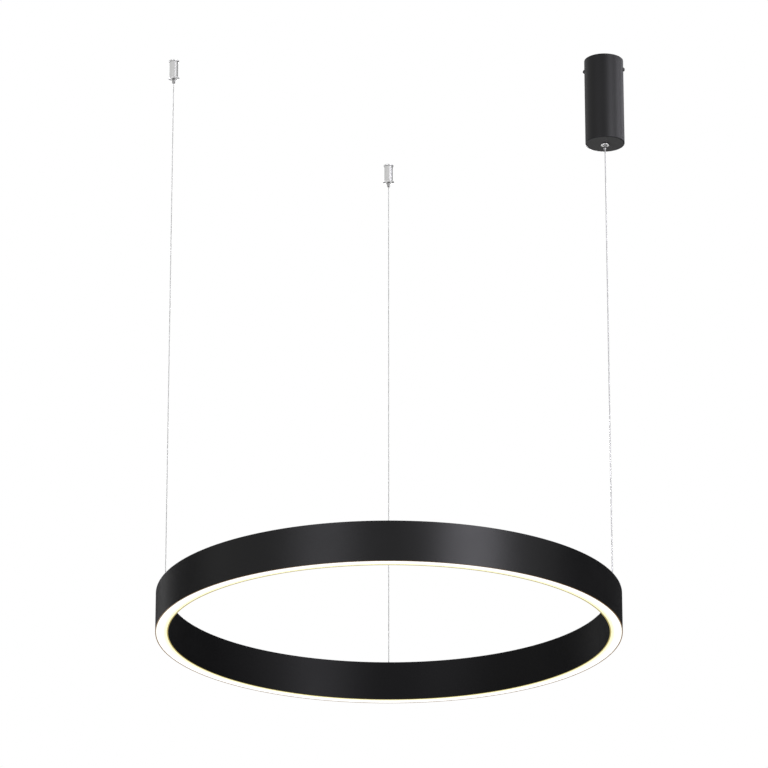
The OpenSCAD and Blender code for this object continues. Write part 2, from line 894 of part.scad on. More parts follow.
// Hollow screw in the top web, up from the web's face at Z = 0
module bushing(bore) {
    head = bushing_head_d / 2;
    edge = bushing_head_t / 3;
    flare = 0.6;
    difference() {
        rotate_extrude() polygon([
            [0, -bushing_len], [bushing_d / 2, -bushing_len], [bushing_d / 2, 0],
            [head, 0], [head, bushing_head_t - edge], [head - edge, bushing_head_t],
            [0, bushing_head_t]
        ]);
        translate([0, 0, -bushing_len - cut]) {
            cylinder(r = bore, h = bushing_len + bushing_head_t + 2 * cut);
        }
        translate([0, 0, bushing_head_t - flare]) {
            cylinder(r1 = bore, r2 = bore + 2 * flare, h = 2 * flare);
        }
    }
}

// Room inside a bushing for a cable's ball end, with a conical seat above it
module ball_socket() {
    rotate_extrude() polygon([
        [0, -bushing_len - cut], [socket_r, -bushing_len - cut],
        [socket_r, seat_z - web_z - (socket_r - steel_bore_r)],
        [steel_bore_r, seat_z - web_z], [0, seat_z - web_z]
    ]);
}

module cable_bushings() {
    color("#8a8d90") {
        for (a = [far_at, left_at]) at_cable(a) translate([0, 0, web_z]) difference() {
            bushing(steel_bore_r);
            ball_socket();
        }
        at_cable(power_at) translate([0, 0, web_z]) bushing(power_bore_r);
    }
}

module bushing_nuts() {
    color("#8a8d90") for (a = [far_at, left_at, power_at]) at_cable(a) rotate(a) {
        translate([0, 0, web_z - web_t - bushing_nut_t]) difference() {
            cylinder(d = bushing_nut_w / cos(30), h = bushing_nut_t, $fn = 6);
            translate([0, 0, -cut]) {
                cylinder(r = bushing_d / 2 + thread_gap, h = bushing_nut_t + 2 * cut);
            }
        }
    }
}

canopy_shell();
canopy_bracket();
canopy_screws();
driver_hanger();
hanger_screws();
led_driver();
driver_screws();
terminal_block();
input_leads();
output_leads();
gland_body();
gland_nut();
gland_cap();
power_plunger();
power_spring();
power_grip_balls();
power_cable_tail();
power_cable();
power_cable_end();
left_anchor_base();
left_barrel();
left_plunger();
left_spring();
left_grip_balls();
left_cable_tail();
left_cable();
left_cable_end();
far_anchor_base();
far_barrel();
far_plunger();
far_spring();
far_grip_balls();
far_cable_tail();
far_cable();
far_cable_end();
ring_housing();
led_tape();
led_chips();
diffuser();
ring_leads();
cable_bushings();
bushing_nuts();
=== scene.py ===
# %% [markdown]
# # A ring pendant light
# The lamp is a slim black ring that hangs level on three thin cables. Two cables end in small
# nickel ceiling anchors. The third one also feeds the lamp, and ends in a black cylinder
# canopy. The ring's underside is an opal strip that glows.
#
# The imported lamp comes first, because its sizes and its moving bodies are fixed. Each new
# piece is placed from it, and moves with one of its bodies.

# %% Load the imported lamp
import math

import bmesh
import bpy
import numpy as np
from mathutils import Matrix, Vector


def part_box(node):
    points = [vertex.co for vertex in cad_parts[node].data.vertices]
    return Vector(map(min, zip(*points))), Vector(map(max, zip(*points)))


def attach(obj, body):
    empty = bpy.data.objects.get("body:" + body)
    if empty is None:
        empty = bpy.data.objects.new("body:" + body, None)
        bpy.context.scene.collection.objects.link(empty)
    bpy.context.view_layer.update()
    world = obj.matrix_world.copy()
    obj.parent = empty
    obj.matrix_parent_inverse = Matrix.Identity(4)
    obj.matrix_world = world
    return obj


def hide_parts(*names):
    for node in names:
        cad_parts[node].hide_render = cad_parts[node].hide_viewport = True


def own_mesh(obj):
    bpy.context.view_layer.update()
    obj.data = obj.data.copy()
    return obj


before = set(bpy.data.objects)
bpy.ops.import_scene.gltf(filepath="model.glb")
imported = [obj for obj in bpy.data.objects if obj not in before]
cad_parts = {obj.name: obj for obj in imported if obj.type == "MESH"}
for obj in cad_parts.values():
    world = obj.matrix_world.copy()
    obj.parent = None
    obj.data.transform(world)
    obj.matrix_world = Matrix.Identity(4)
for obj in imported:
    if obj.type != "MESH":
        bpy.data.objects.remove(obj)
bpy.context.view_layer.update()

print("nodes:", len(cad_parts))

# %% [markdown]
# ## Units and places
# The lamp is drawn in metres, but its parts are easier to think of in millimetres, so a
# length is written as a number times MM. A round part's place is its axis, its two levels and
# its radius, and its box gives them all.

# %% Read a round part's place from its box
MM = 0.001
TURN = 2 * math.pi


class Place:
    """Axis, levels and radius of an upright round part, from the corners of its box."""

    def __init__(self, node):
        low, high = (np.array(corner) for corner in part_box(node))
        self.axis = (low[:2] + high[:2]) / 2
        self.low = low[2]
        self.high = high[2]
        self.radius = (high[0] - low[0]) / 2

    def __repr__(self):
        return f"r {self.radius:.4f} m, z {self.low:.4f} to {self.high:.4f} m"


ring_place = Place("ring_housing")
canopy_place = Place("canopy_shell")
anchor_places = {side: Place(side + "_barrel") for side in ("left", "far")}
print("ring:", ring_place)
print("canopy:", canopy_place)

# %% [markdown]
# ## Camera
# The picture was taken from well below the lamp and from far away, so that the glowing
# underside shows and the ring is still a flat ellipse. A long lens at 8 m gives the same
# narrow view, with the camera tipped up by about 21 degrees.

# %% Camera
FILM_WIDTH, LENS = 36, 229.4  # millimetres, as lenses are sold
CAMERA_PLACE = (-0.0085, -7.993, -3.588)
TILT = 20.62


def in_scene(name, data):
    """New object of a mesh, camera or light in the scene."""
    thing = bpy.data.objects.new(name, data)
    bpy.context.scene.collection.objects.link(thing)
    return thing


camera = in_scene("camera", bpy.data.cameras.new("camera"))
camera.data.sensor_width = FILM_WIDTH
camera.data.lens = LENS
camera.location = CAMERA_PLACE
camera.rotation_euler = (math.radians(90 + TILT), 0, 0)
bpy.context.scene.camera = camera
print("field of view:", round(math.degrees(camera.data.angle), 2), "degrees")

# %% [markdown]
# ## From a grid of points to a mesh
# Nearly all of this lamp is turned, rolled or drawn, so each surface can be written as a
# function of two parameters and worked out as one array. A grid of points becomes a mesh
# when each cell gets four corners. Which way the faces look, and the UV map, are settled here
# once for every piece.

# %% A patch from a grid of points
def patch(points, closed_rows=False, closed_columns=True, hollow=False):
    """Corners, cells and UVs of a grid of points, with rows by columns by 3 numbers.

    Cell (i, j) joins points (i, j), (i+1, j), (i+1, j+1) and (i, j+1), and the last row or
    column joins the first where it is closed. The volume inside is a sixth of the sum of
    a . (b x c) over all triangles, and its sign says whether the cells must be turned round.
    U goes from 0 to 1 along a row, and V is the length along the first column in metres."""
    rows, columns = points.shape[:2]
    i = np.arange(rows if closed_rows else rows - 1)[:, None]
    j = np.arange(columns if closed_columns else columns - 1)[None, :]
    steps = [(0, 0), (1, 0), (1, 1), (0, 1)]
    cells = np.stack([(i + di) % rows * columns + (j + dj) % columns for di, dj in steps], -1)
    first = np.concatenate([points[:, 0], points[:1, 0]])
    along = np.concatenate([[0], np.cumsum(np.linalg.norm(np.diff(first, axis=0), axis=1))])
    across = np.arange(columns + 1) / columns
    uvs = np.stack([
        np.stack(np.broadcast_arrays(across[j + dj], along[i + di]), -1) for di, dj in steps
    ], 2)
    corners = points.reshape(-1, 3)
    cells, uvs = cells.reshape(-1, 4), uvs.reshape(-1, 4, 2)
    a, b, c, d = ((corners - corners.mean(0))[cells[:, k]] for k in range(4))
    volume = np.sum(a * (np.cross(b, c) + np.cross(c, d))) / 6
    if (volume < 0) != hollow:
        cells, uvs = cells[:, ::-1], uvs[:, ::-1]
    return corners, cells, uvs


# %% [markdown]
# ## Profiles with soft corners
# No edge of a real part is perfectly sharp, and the thin line where it is broken catches the
# light. Without it metal looks like card. So an outline is written as its corners, and each
# corner gives way to a short curve. A guard point just before and after each curve keeps the
# flat faces flat when the shading is smoothed.

# %% Soft corners
GUARD = 1.02


def soft(corners, radius, steps=5):
    """Outline whose corners are curves. Corner C gives way to the points
    (1-t)(1-t) A + 2t(1-t) C + t t B, where A and B lie one radius before and after it, but
    never more than 0.48 of a side away. A guard lies 1.02 radii away, or just over 0.48."""
    corner = np.array(corners, float)
    radius = np.broadcast_to(np.array(radius, float), len(corner))[:, None]

    def towards(neighbour, share):
        way = neighbour - corner
        length = np.maximum(np.linalg.norm(way, axis=1, keepdims=True), 1e-12)
        return corner + way * np.minimum(share * radius / length, 0.24 + 0.24 * share)

    before, after = np.roll(corner, 1, 0), np.roll(corner, -1, 0)
    t = np.linspace(0, 1, steps)[None, :, None]
    curve = (
        (1 - t) ** 2 * towards(before, 1)[:, None]
        + 2 * t * (1 - t) * corner[:, None]
        + t**2 * towards(after, 1)[:, None]
    )
    guarded = [towards(before, GUARD)[:, None], curve, towards(after, GUARD)[:, None]]
    return np.concatenate(guarded, 1).reshape(-1, 2)


# %% [markdown]
# A lathe turns the bar and holds the tool still. Here the profile is carried round instead,
# which gives the same shape. Ropes, springs and the floor need the same points about an axis.

# %% Turning a profile about an axis
def angles(columns):
    """Angles of a full turn in equal steps from 0, without the last."""
    return np.linspace(0, TURN, columns, endpoint=False)


def about(axis, r, a, z):
    """Points (x0 + r cos a, y0 + r sin a, z) about an upright axis, from arrays."""
    x, y = axis[0] + r * np.cos(a), axis[1] + r * np.sin(a)
    return np.stack(np.broadcast_arrays(x, y, z), -1)


def turned(outline, axis, columns=96, closed=True, hollow=False):
    """Patch that a profile of (r, z) points sweeps in a full turn about an upright axis."""
    points = about(axis, outline[:, 0, None], angles(columns)[None, :], outline[:, 1, None])
    return patch(points, closed_rows=closed, hollow=hollow)


# %% [markdown]
# ## Finishes as expressions
# A finish is more than a colour: its roughness, its fine relief and its colour all change a
# little from place to place. In the node editor such sums soon turn into a web of small Math
# nodes. Here a number that changes over the surface is an Amount, and arithmetic on it adds
# the nodes. Every other node comes from one method, add().

# %% Amounts and trees of nodes
class Amount:
    """A number that changes over a surface. Arithmetic on it adds Math nodes."""

    def __init__(self, tree, socket):
        self.tree = tree
        self.socket = socket

    def __add__(self, other):
        return self.tree.math("ADD", self, other)

    def __mul__(self, other):
        return self.tree.math("MULTIPLY", self, other)

    def __sub__(self, other):
        return self.tree.math("SUBTRACT", self, other)

    def __rsub__(self, other):
        return self.tree.math("SUBTRACT", other, self)

    def __pow__(self, other):
        return self.tree.math("POWER", self, other)

    __radd__ = __add__
    __rmul__ = __mul__


class Tree:
    """A tree of shader nodes that grows by expressions."""

    def __init__(self, owner):
        owner.use_nodes = True
        self.nodes = owner.node_tree.nodes
        self.links = owner.node_tree.links

    def fill(self, node, sockets):
        """Sets each named or numbered input of a node, or links it."""
        for key, value in sockets.items():
            value = getattr(value, "socket", value)
            if isinstance(value, bpy.types.NodeSocket):
                self.links.new(value, node.inputs[key])
            else:
                node.inputs[key].default_value = value

    def add(self, kind, settings=None, sockets=None, output=0):
        """A new node of a kind, with its settings first and its sockets second. Stops are a
        ramp's (place, colour) pairs."""
        node = self.nodes.new("ShaderNode" + kind)
        settings = dict(settings or {})
        stops = settings.pop("stops", None)
        for key, value in settings.items():
            setattr(node, key, value)
        if stops:
            ramp = node.color_ramp.elements
            while len(ramp) < len(stops):
                ramp.new(1)
            for element, (place, colour) in zip(ramp, stops):
                element.position = place
                element.color = (*colour, 1)
        self.fill(node, sockets or {})
        return Amount(self, node.outputs[output])

    def math(self, operation, *values):
        """One Math node on amounts or plain numbers."""
        return self.add("Math", {"operation": operation}, dict(enumerate(values)))

    def mix(self, share, first, second):
        """A colour between two colours."""
        colours = [c if isinstance(c, Amount) else (*c, 1) for c in (first, second)]
        return self.add("Mix", {"data_type": "RGBA"},
                        {0: share, 6: colours[0], 7: colours[1]}, output=2)

    def place(self, output="Object", stretch=(1, 1, 1)):
        """Coordinates on the piece, in metres, stretched along its axes."""
        here = self.add("TexCoord", output=output)
        return self.add("Mapping", {"vector_type": "POINT"},
                        {"Vector": here, "Scale": stretch})

    def noise(self, size, detail=2, where=None):
        """Cloudy noise from 0 to 1, whose blobs are about size metres wide."""
        where = where or self.place()
        return self.add("TexNoise", {}, {"Vector": where, "Scale": 1 / size, "Detail": detail})

    def axes(self, where):
        """The three coordinates of a place as amounts."""
        split = self.add("SeparateXYZ", {}, {0: where}).socket.node
        return [Amount(self, socket) for socket in split.outputs]

    def seen(self):
        """1 for rays from the camera, also mirrored or bent ones, and 0 for bounced light."""
        rays = self.add("LightPath").socket.node
        kinds = ("Is Camera Ray", "Is Glossy Ray", "Is Transmission Ray")
        straight, mirrored, bent = (Amount(self, rays.outputs[kind]) for kind in kinds)
        return self.math("MAXIMUM", self.math("MAXIMUM", straight, mirrored), bent)


class Finish(Tree):
    """A material whose shader is one Principled BSDF. Constants sit on its own sockets."""

    made = {}

    def __init__(self, name, **constants):
        Finish.made[name] = bpy.data.materials.new(name)
        super().__init__(Finish.made[name])
        self.shader = self.nodes["Principled BSDF"]
        self.set(**constants)

    def set(self, **sockets):
        """Sets or links sockets of the shader. The name base_color stands for Base Color."""
        self.fill(self.shader, {
            key.replace("_", " ").title().replace("Ior", "IOR"): value
            for key, value in sockets.items()
        })

    def glow(self, colour, strength=1.0):
        """Lets the surface give off light of its own."""
        self.set(emission_color=colour, emission_strength=strength)

    def relief(self, height, depth):
        """Bump from an amount between 0 and 1, which stands for a relief of depth metres."""
        self.set(normal=self.add("Bump", {}, {"Height": height, "Distance": depth}))


# %% [markdown]
# ## Powder coat
# The ring and the canopy are sprayed with black powder that melts into a matt skin. Close up
# it has a fine, even pimple, like orange peel. From further away only its soft, wide
# highlight shows. A low specular level keeps it black in a bright room. The canopy is a
# little glossier than the ring.

# %% Black powder coat for the ring and for the canopy
def powder_coat(name, dark, light, gloss, roughness):
    """Matt paint: two near blacks in soft clouds, and pimples 0.6 mm wide."""
    coat = Finish(name, specular_ior_level=gloss)
    clouds = coat.noise(60 * MM, detail=3)
    pimples = coat.noise(0.6 * MM, detail=1)
    coat.set(base_color=coat.mix(clouds, dark, light))
    coat.set(roughness=roughness + 0.06 * clouds + 0.05 * pimples)
    coat.relief(pimples, 0.03 * MM)
    return coat


RING_BLACK = ((0.0030, 0.0030, 0.0031), (0.0044, 0.0044, 0.0046))
# The inner wall's blacks are darker than the ring's: painted shade.
INNER_SHADED_BLACK = ((0.0022, 0.0022, 0.0023), (0.0034, 0.0034, 0.0036))
CANOPY_BLACK = ((0.0030, 0.0030, 0.0032), (0.0046, 0.0046, 0.0049))
canopy_paint = powder_coat("canopy_paint", *CANOPY_BLACK, gloss=0.19, roughness=0.38)
powder_coat("screw_paint", *CANOPY_BLACK, gloss=0.4, roughness=0.35)
print("canopy paint:", len(canopy_paint.nodes), "nodes")

# %% [markdown]
# The light of the opal strip spills over the ring's two thin lower lips. On the real ring the
# inner one shows as a fine gold line against the bright room. Light that really spills would
# need many samples for so fine a line, so the lowest 0.45 mm glows faintly by itself, the
# inner lip more than the outer one. The wall that faces the middle of the ring has a coat of
# its own, duller, and darker in colour as painted shade.

# %% Ring paint, with its lit lips and a darker inner coat of painted shade
LIP_HEIGHT = 0.45 * MM


def lit_coat(name, blacks, gloss, roughness, glow):
    """Powder coat with a glow on what lies below the lip's height."""
    coat = powder_coat(name, *blacks, gloss=gloss, roughness=roughness)
    level = coat.axes(coat.place())[2]
    lip = coat.math("LESS_THAN", level, ring_place.low + LIP_HEIGHT)
    coat.glow(coat.mix(lip, (0, 0, 0), glow))


lit_coat("ring_paint", RING_BLACK, 0.15, 0.31, (0.19, 0.10, 0.025))
# Inner coat: darker blacks as painted shade, less gloss, and a brighter glow on its lip.
lit_coat("inner_shaded_paint", INNER_SHADED_BLACK, 0.07, 0.38, (0.46, 0.37, 0.11))
print("lips glow below", round(ring_place.low + LIP_HEIGHT, 5))

# %% [markdown]
# ## Metals
# The anchors, the gland and the bushings are turned brass with bright nickel. Turning leaves
# very fine rings round the axis, which streak the reflections. The anchors' nipples are given
# a darker metal. Zinc plate on the sheet parts is duller and cloudy. Grey paint could stand for
# these, but metals show mostly the room, so all of them are fully metallic.

# %% Nickel, zinc, brass and spring wire
def turned_metal(name, colour, dull, roughness):
    """Metal with turning marks: noise squeezed along the axis into rings 0.15 mm apart."""
    metal = Finish(name, metallic=1.0)
    rings = metal.noise(1, 1, metal.place(stretch=(30, 30, 1 / (0.15 * MM))))
    clouds = metal.noise(5 * MM)
    metal.set(base_color=metal.mix(clouds, colour, dull))
    metal.set(roughness=roughness + 0.08 * rings + 0.05 * clouds)
    metal.relief(rings, 0.004 * MM)


turned_metal("nickel", (0.60, 0.60, 0.59), (0.50, 0.50, 0.50), 0.14)
# The anchors' nipples: the same turned metal as the nickel, darker.
turned_metal("darker_plunger_metal", (0.30, 0.30, 0.29), (0.22, 0.22, 0.22), 0.20)
turned_metal("brass", (0.72, 0.55, 0.25), (0.60, 0.44, 0.19), 0.22)
turned_metal("spring_wire", (0.50, 0.50, 0.52), (0.42, 0.42, 0.44), 0.25)

zinc = Finish("zinc_plate", metallic=1.0)
spangle = zinc.add("TexVoronoi", {}, {"Vector": zinc.place(), "Scale": 1 / (4 * MM)},
                   output="Color")
grain = zinc.noise(1.2 * MM, detail=4)
zinc.set(base_color=zinc.mix(grain, (0.60, 0.61, 0.63), (0.46, 0.47, 0.50)))
zinc.set(roughness=0.30 + 0.15 * grain + 0.08 * zinc.axes(spangle)[0])
zinc.relief(grain, 0.01 * MM)
print("finishes so far:", ", ".join(Finish.made))

# %% [markdown]
# ## Moulded plastic
# The driver, the terminal block and the small black parts are injection moulded. The mould's
# spark texture makes them matt, and the plastic shrinks in slow waves, which the eye reads as
# plastic even on a flat face.

# %% White and black plastic
def moulded(name, colour, shade):
    """Moulded plastic with a spark texture 0.25 mm wide and slow waves from shrinking."""
    plastic = Finish(name)
    spark = plastic.noise(0.25 * MM, detail=1)
    waves = plastic.noise(12 * MM)
    plastic.set(base_color=plastic.mix(waves, colour, shade))
    plastic.set(roughness=0.42 + 0.12 * spark)
    plastic.relief(spark, 0.01 * MM)


moulded("white_plastic", (0.76, 0.76, 0.74), (0.70, 0.70, 0.68))
moulded("black_plastic", (0.022, 0.022, 0.023), (0.017, 0.017, 0.018))
print("with plastic:", len(Finish.made), "finishes")

# %% [markdown]
# ## Pieces
# A piece can have several patches. A row that shrinks to a point leaves many corners in one
# place, so these are merged. All faces are shaded smoothly, and edges that turn by more than
# 35 degrees stay sharp, as they do on a turned part.

# %% Pieces made of patches
MERGE_DISTANCE = 1e-7
SHARP_ANGLE = math.radians(35)
CEILING = "ceiling_fittings"


def merged(name, patches, uv_map=True):
    """Mesh of one or more patches, in which doubled corners are one."""
    corners, cells, uvs = zip(*patches)
    starts = np.cumsum([0] + [len(c) for c in corners])
    cells = np.concatenate([c + start for c, start in zip(cells, starts)])
    mesh = bpy.data.meshes.new(name)
    mesh.from_pydata(np.concatenate(corners).tolist(), [], cells.tolist())
    if uv_map:
        flat = np.concatenate(uvs).ravel().astype(np.float32)
        mesh.uv_layers.new(name="UVMap").data.foreach_set("uv", flat)
    shape = bmesh.new()
    shape.from_mesh(mesh)
    bmesh.ops.remove_doubles(shape, verts=shape.verts, dist=MERGE_DISTANCE)
    shape.to_mesh(mesh)
    shape.free()
    return mesh


def make_piece(name, patches, body, finish, replaces=()):
    """One object of one or more patches, with a finish by its name, which rides on a body."""
    mesh = merged(name, patches)
    mesh.polygons.foreach_set("use_smooth", np.ones(len(mesh.polygons), bool))
    mesh.set_sharp_from_angle(angle=SHARP_ANGLE)
    mesh.materials.append(Finish.made[finish])
    piece = in_scene(name, mesh)
    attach(piece, body)
    if replaces:
        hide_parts(*replaces)
    print(f"{name}: {len(mesh.vertices)} points, {len(mesh.polygons)} faces")
    return piece


# %% [markdown]
# ## Cables
# Each steel cable is a rope 1.5 mm thick, with six strands laid round a core. Stripes on a
# rod could stand for it, but up close its outline would be wrong. So the real section is
# used: six circles, each a third of the rope's radius, with their middles two thirds of the
# way out. That section turns as it goes down. The columns of the grid turn with it, so one
# column follows one wire, and few rings are needed.
#
# The ring's height is set by letting cable run through the grippers, so a cable has to get
# shorter when the ring rises.

# %% Steel rope and power cable as swept sections
def rope(axis, low, high, radius, strands=6, wires=4, lay=8 * MM, rings=12):
    """Patch and centre line of an upright rope.

    On a strand whose middle is d away in angle, a point of the section lies at
    c cos d + sqrt(s s - c c sin d sin d), where s is the strand's radius and c the distance
    of its middle. The section turns once in each lay's length."""
    s, c = radius / 3, radius * 2 / 3
    a = angles(strands * wires)
    d = (a % (TURN / strands)) - TURN / strands / 2
    r = c * np.cos(d) + np.sqrt(np.maximum(s**2 - (c * np.sin(d)) ** 2, 0))
    z = np.linspace(high, low, max(3, int((high - low) / lay * rings)))
    turn = a[None, :] + TURN * (z / lay)[:, None]
    r = np.concatenate([[0 * r], np.tile(r, (len(z), 1)), [0 * r]])
    z = np.concatenate([z[:1], z, z[-1:]])
    turn = np.concatenate([turn[:1], turn, turn[-1:]])
    centre = [(*axis, level) for level in np.linspace(high, low, 60)]
    return patch(about(axis, r, turn, z[:, None])), centre


STRANDS, WIRES, WIRE_LAY = 6, 36, 1.5 * MM
steel = Finish("steel_rope", metallic=1.0)
u, v, _ = steel.axes(steel.place("UV"))
strand = steel.math("SINE", u * (STRANDS * math.pi))
wire = steel.math("SINE", u * (WIRES * TURN) + v * (TURN / WIRE_LAY))
# Colour is lighter on the strands' crowns and darker in the grooves between them: painted
# highlight and painted shade.
painted_crown_light = steel.math("ABSOLUTE", strand)
steel.set(base_color=steel.mix(painted_crown_light, (0.20, 0.20, 0.20), (0.50, 0.50, 0.49)))
steel.set(roughness=0.42 - 0.08 * painted_crown_light)
steel.relief(0.5 + 0.5 * wire, 0.03 * MM)
print("rope finish:", len(steel.nodes), "nodes")

# %% [markdown]
# The power cable also brings the current, in tinned strands under a clear sheath. A sheath
# that really refracts would need many bounces of light for a line two pixels wide, so the
# braid is a pattern that follows the surface, and a clear coat lies over it.

# %% Braid under a clear sheath
BRAIDED, BRAID_LAY = 8, 1.1 * MM
sheath = Finish("clear_sheath", metallic=0.35, coat_weight=1.0, coat_roughness=0.08,
                roughness=0.35)
u, v, _ = sheath.axes(sheath.place("UV"))
around, down = u * (BRAIDED * TURN), v * (TURN / BRAID_LAY)
right_hand = sheath.math("SINE", around + down)
left_hand = sheath.math("SINE", around - down)
braid = 0.5 + 0.25 * right_hand + 0.25 * left_hand
sheath.set(base_color=sheath.mix(braid, (0.18, 0.18, 0.175), (0.42, 0.42, 0.41)))
print("sheath finish:", len(sheath.nodes), "nodes")

# %% [markdown]
# Each cable is a piece on its own body, because the real ones swing by themselves. Lengths
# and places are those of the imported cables.


def shrink(piece):
    """Gives the piece a mesh of its own."""
    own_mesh(piece)


def rod(axis, low, high, radius, columns=20, rings=120):
    """Patch and centre line of a plain upright cable, with flat ends."""
    z = np.linspace(high, low, rings)
    outline = np.stack([np.full(rings, radius), z], 1)
    outline = np.concatenate([[[0, high]], outline, [[0, low]]])
    return turned(outline, axis, columns, closed=False), [(*axis, level) for level in z]


CABLES = {
    "left": (rope, "steel_rope", "steel_cable"),
    "far": (rope, "steel_rope", "steel_cable"),
    "power": (rod, "clear_sheath", "power_cord"),
}
for side, (sweep, finish, slot) in CABLES.items():
    node = side + "_cable"
    at = Place(node)
    shape, centre = sweep(at.axis, at.low, at.high, at.radius)
    cable = make_piece(node + "_rope", [shape], node, finish, [node])
    shrink(cable)
    print(f"{side} cable: {at.high - at.low:.3f} m long, {2 * at.radius / MM:.2f} mm thick")

# %% [markdown]
# Inside each gripper the cable goes on above the point that it swings about. That short
# stretch stays with the ceiling, so it is a piece of its own, with the same section.

# %% Cable tails in the grippers
for side, (sweep, finish, slot) in CABLES.items():
    node = side + "_cable_tail"
    at = Place(node)
    shape, _ = sweep(at.axis, at.low, at.high, at.radius)
    make_piece(node + "_rope", [shape], CEILING, finish, [node])

# %% [markdown]
# ## The ring
# The ring is one rolled aluminium profile, with two thin walls and two webs between them. The
# top web lies a little below the rim and carries the cables. The lower web carries the tape
# of light sources, and the opal strip clips in below it. A plain hoop would look nearly the
# same from afar, but the thin lips and the recess at the top make it this lamp. So the whole
# section is drawn and turned about the ring's axis.

# %% Section of the ring's profile
# Millimetres: half the width, inside of a wall, height, tape's level, recess, web
HALF, INSIDE, TALL, TAPE_LEVEL, RECESS, WEB = 11, 9.4, 70, 22, 3.5, 2
TOP_WEB = TALL - RECESS
ring_middle = ring_place.radius - HALF * MM


def section(rows, columns=360, hollow=False):
    """Patch of the ring with a section that is the same on both sides of its middle line. The
    rows (x, y, softness) are its right half's corners, in millimetres from the middle line
    and from the lower edge."""
    right = np.array(rows, float) * MM
    both = np.concatenate([right, right[::-1] * (-1, 1, 1)])
    outline = soft(both[:, :2], both[:, 2], 4) + (ring_middle, ring_place.low)
    return turned(outline, (0, 0), columns, hollow=hollow)


BODY = [(5.2, TAPE_LEVEL, 0.2), (5.2, 21, 0.2), (6.0, 21, 0.2), (6.0, TAPE_LEVEL, 0.2),
        (INSIDE, TAPE_LEVEL, 0.2), (INSIDE, 4.8, 0.2), (8.8, 4.2, 0.4), (INSIDE, 3.6, 0.2),
        (INSIDE, 0, 0.45), (HALF, 0, 0.45), (HALF, TALL, 0.45), (INSIDE, TALL, 0.45),
        (INSIDE, TOP_WEB, 1.0)]
CHAMBER = [(INSIDE, TOP_WEB - WEB, 1.0), (INSIDE, TAPE_LEVEL + WEB, 1.0)]
ring = make_piece("ring_profile", [section(BODY), section(CHAMBER, hollow=True)], "ring",
                  "ring_paint", ["ring_housing"])

# %% [markdown]
# The cables go through the top web in hollow screws. The web's holes for them are cut with
# the Boolean modifier, because a hole isn't part of a turned shape. The same helper cuts
# every other cross hole of the lamp.

# %% Tubes and cross holes
def tube(route, radius, columns=16, beside=(0, 1, 0)):
    """Patch of a round tube along a route of points. At each point the section lies at right
    angles to the direction t of the route: p + r (n cos a + m sin a), where n is what is
    left of a sideways direction after its part along t is taken off, and m is t x n."""
    route = np.array(route, float)
    t = np.gradient(route, axis=0)
    t /= np.linalg.norm(t, axis=1, keepdims=True)
    n = np.array(beside, float) - (t @ np.array(beside, float))[:, None] * t
    n /= np.linalg.norm(n, axis=1, keepdims=True)
    m = np.cross(t, n)
    a = angles(columns)[None, :, None]
    walls = route[:, None] + radius * (np.cos(a) * n[:, None] + np.sin(a) * m[:, None])
    ends = [np.repeat(route[i][None, None], columns, 1) for i in (0, -1)]
    return patch(np.concatenate([ends[0], walls, ends[1]]))


def drill(piece, cutters):
    """Takes the cutters' shapes out of a piece, and keeps the result as its mesh."""
    cutter = in_scene("drill", merged("drill", cutters, uv_map=False))
    cut = piece.modifiers.new("holes", "BOOLEAN")
    cut.operation = "DIFFERENCE"
    cut.solver = "EXACT"
    cut.object = cutter
    scene_state = bpy.context.evaluated_depsgraph_get()
    drilled = bpy.data.meshes.new_from_object(piece.evaluated_get(scene_state))
    piece.modifiers.clear()
    whole, name = piece.data, piece.data.name
    piece.data = drilled
    drilled.set_sharp_from_angle(angle=SHARP_ANGLE)
    for spent in (whole, cutter.data):
        bpy.data.meshes.remove(spent)
    drilled.name = name
    print(f"{piece.name}: {len(cutters)} holes, now {len(drilled.polygons)} faces")


HOLE = 4.05 * MM
cable_axes = {side: Place(side + "_cable").axis for side in CABLES}
web_top = ring_place.high - RECESS * MM
drill(ring, [
    tube([(*axis, web_top - 2 * WEB * MM), (*axis, web_top + WEB * MM)], HOLE, 32)
    for axis in cable_axes.values()
])

# %% [markdown]
# The darker inner coat, which is painted shade, goes on all faces nearer to the ring's axis
# than the far side of the inner wall. A second object for that coat would need a seam, and one
# mesh with two materials has none.

# %% Inner coat of painted shade
PAINT_EDGE = 0.05 * MM
# The second material is the painted-shade inner coat.
ring.data.materials.append(Finish.made["inner_shaded_paint"])
faces = ring.data.polygons
centres = np.empty((len(faces), 3), np.float32)
faces.foreach_get("center", centres.ravel())
inner_edge = ring_middle - INSIDE * MM - PAINT_EDGE
facing_in = np.hypot(centres[:, 0], centres[:, 1]) < inner_edge
faces.foreach_set("material_index", facing_in.astype(np.int32))
print("faces with the inner coat:", facing_in.sum())

# %% [markdown]
# ## Opal strip
# The strip is extruded opal acrylic that snaps in between the lips. It spreads the light of
# the chips so well that it looks white and even, and turns warmer towards the inner lip. Light
# scattered inside it would take long to work out, and what the eye gets is a glowing face. So
# the strip gives off light by itself, and its colour follows the distance from the axis.

# %% Opal strip
OPAL_STOPS = [
    (0.00, (0.54, 0.46, 0.10)), (0.08, (0.86, 0.82, 0.24)), (0.18, (0.94, 0.94, 0.33)),
    (0.28, (0.93, 0.94, 0.52)), (0.38, (0.97, 0.97, 0.84)), (0.50, (0.985, 0.985, 0.96)),
    (0.94, (0.985, 0.985, 0.96)), (1.00, (0.84, 0.82, 0.62)),
]
strip = Place("diffuser")
opal = Finish("opal", base_color=(0.78, 0.78, 0.74, 1), roughness=0.4)
x, y, _ = opal.axes(opal.place())
from_axis = (x**2 + y**2) ** 0.5
share = (from_axis - (2 * ring_middle - strip.radius)) * (0.5 / (strip.radius - ring_middle))
cloud = opal.noise(25 * MM, detail=3)
warmth = opal.add("ValToRGB", {"stops": OPAL_STOPS}, {0: share + 0.02 * (cloud - 0.5)})
opal.glow(warmth, 0.71)
opal.set(roughness=0.35 + 0.1 * cloud)

